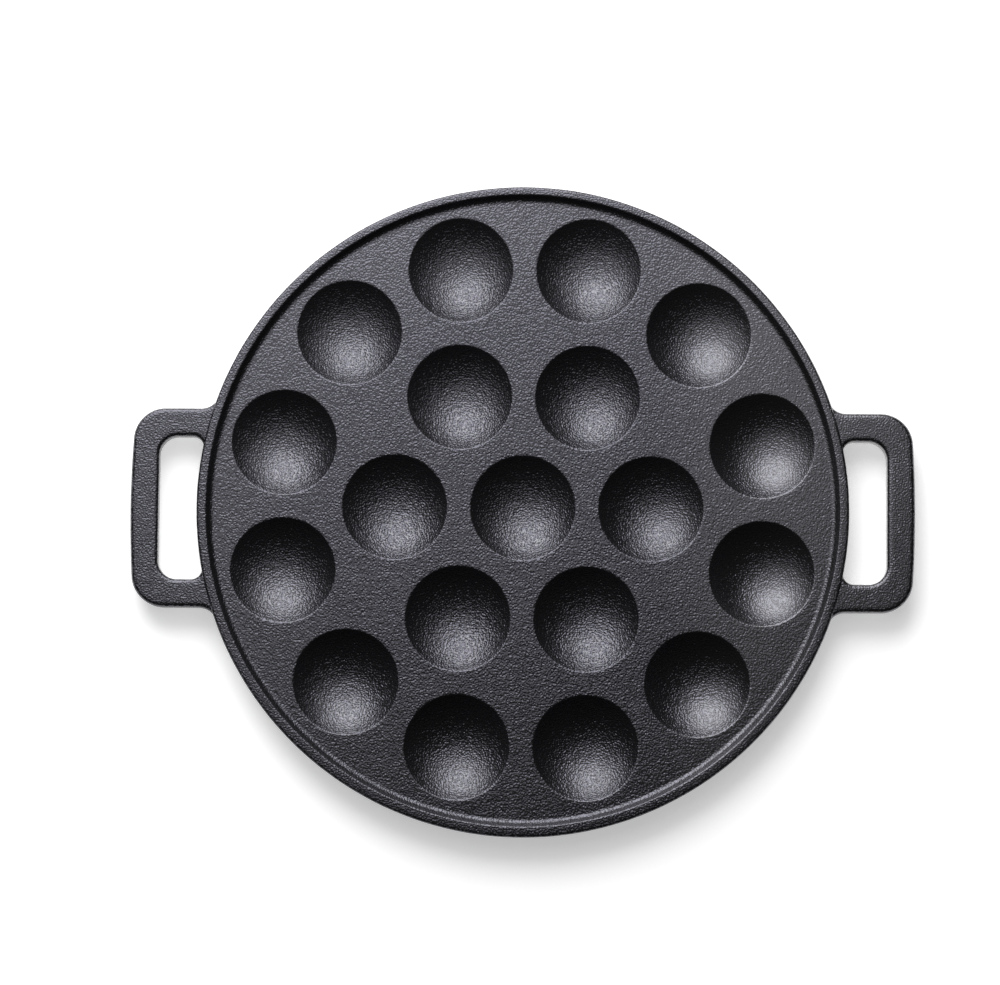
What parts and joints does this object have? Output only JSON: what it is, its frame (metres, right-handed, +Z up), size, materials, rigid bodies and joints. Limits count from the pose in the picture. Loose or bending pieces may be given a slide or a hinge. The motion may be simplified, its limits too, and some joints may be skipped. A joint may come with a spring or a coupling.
{
  "type": "takoyaki pan",
  "caption": "Round cast iron takoyaki pan: a flat plate with shallow round cups in rings, a low raised rim with a skirt to stand on, and a loop handle on each side.",
  "frame": {"origin": "under the middle of the pan, on the surface that it stands on", "axes": "+X from the left handle to the right handle, +Y away from the cook, +Z up"},
  "size_m": [0.314, 0.261, 0.015],
  "materials": {
    "seasoned_iron": "matt black seasoned sand-cast iron with a fine even grain"
  },
  "bodies": {
    "root": {"cooking_plate": "seasoned_iron", "rim_and_skirt": "seasoned_iron", "left_handle": "seasoned_iron", "right_handle": "seasoned_iron", "cup_middle": "seasoned_iron", "cup_inner_1": "seasoned_iron", "cup_inner_2": "seasoned_iron", "cup_inner_3": "seasoned_iron", "cup_inner_4": "seasoned_iron", "cup_inner_5": "seasoned_iron", "cup_inner_6": "seasoned_iron", "cup_outer_01": "seasoned_iron", "cup_outer_02": "seasoned_iron", "cup_outer_03": "seasoned_iron", "cup_outer_04": "seasoned_iron", "cup_outer_05": "seasoned_iron", "cup_outer_06": "seasoned_iron", "cup_outer_07": "seasoned_iron", "cup_outer_08": "seasoned_iron", "cup_outer_09": "seasoned_iron", "cup_outer_10": "seasoned_iron", "cup_outer_11": "seasoned_iron", "cup_outer_12": "seasoned_iron"}
  },
  "joints": []
}
